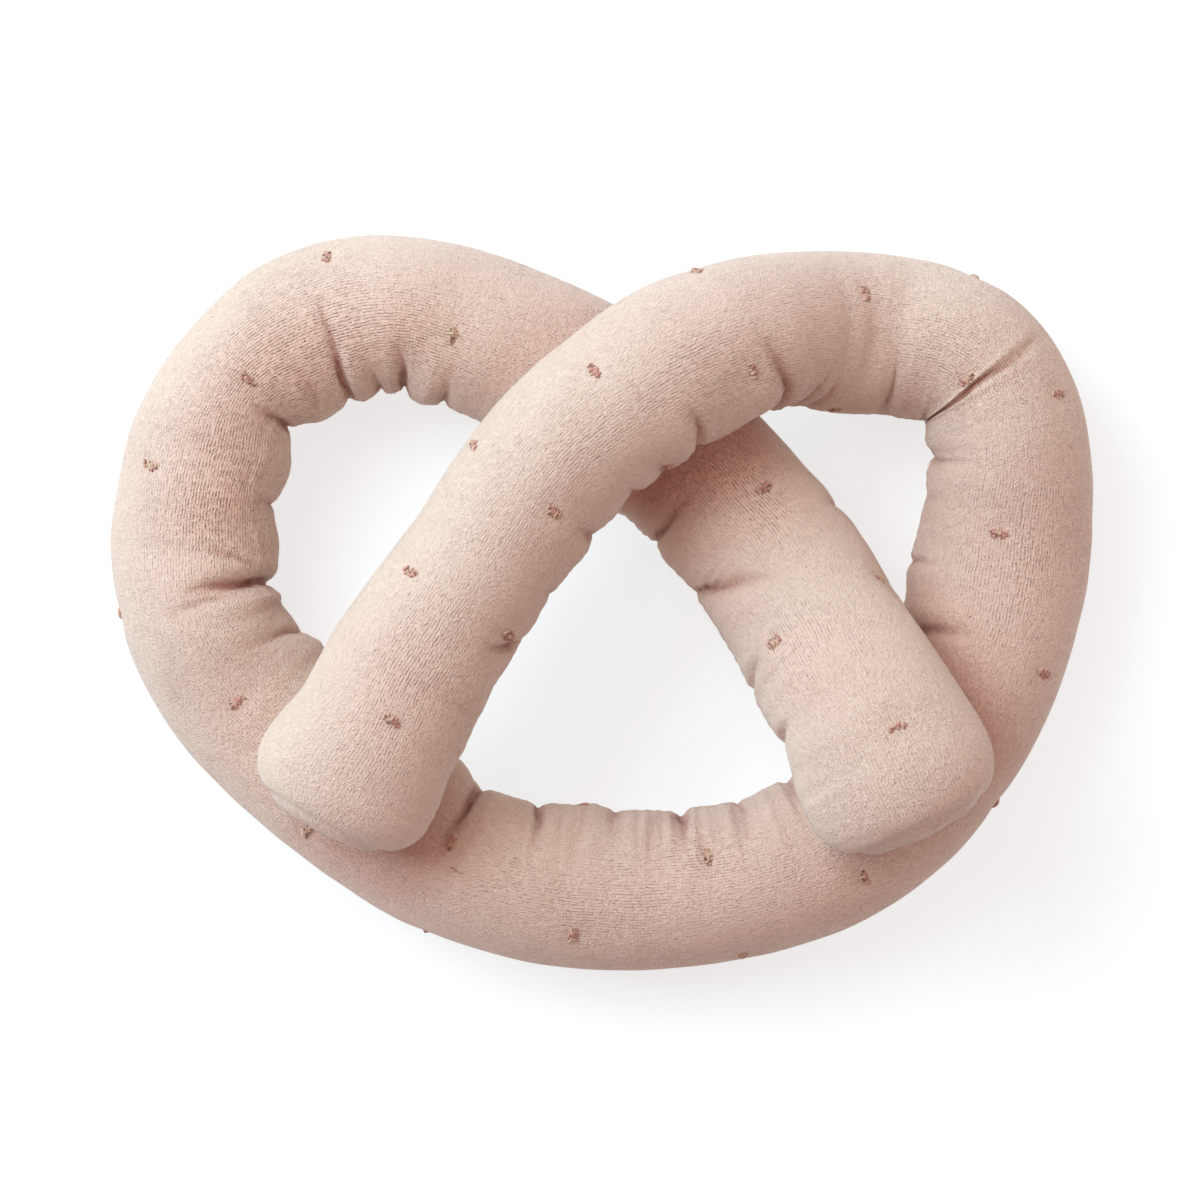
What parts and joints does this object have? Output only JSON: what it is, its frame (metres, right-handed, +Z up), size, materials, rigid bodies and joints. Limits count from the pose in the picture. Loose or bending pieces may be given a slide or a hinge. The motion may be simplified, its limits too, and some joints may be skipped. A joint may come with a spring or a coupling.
{
  "type": "pretzel cushion",
  "caption": "Soft decorative cushion: one long stuffed tube of fine rib knit, closed at both ends and laid in the loops of a pretzel.",
  "frame": {"origin": "on the surface that the cushion lies on, under the middle of its bounding box", "axes": "+Z up off the surface, +X along the cushion's length, +Y towards the two upper loops of the pretzel"},
  "size_m": [0.4499, 0.3363, 0.1267],
  "materials": {
    "knit": "soft fine rib knit"
  },
  "bodies": {
    "root": {"stuffed_tube": "knit"}
  },
  "joints": []
}
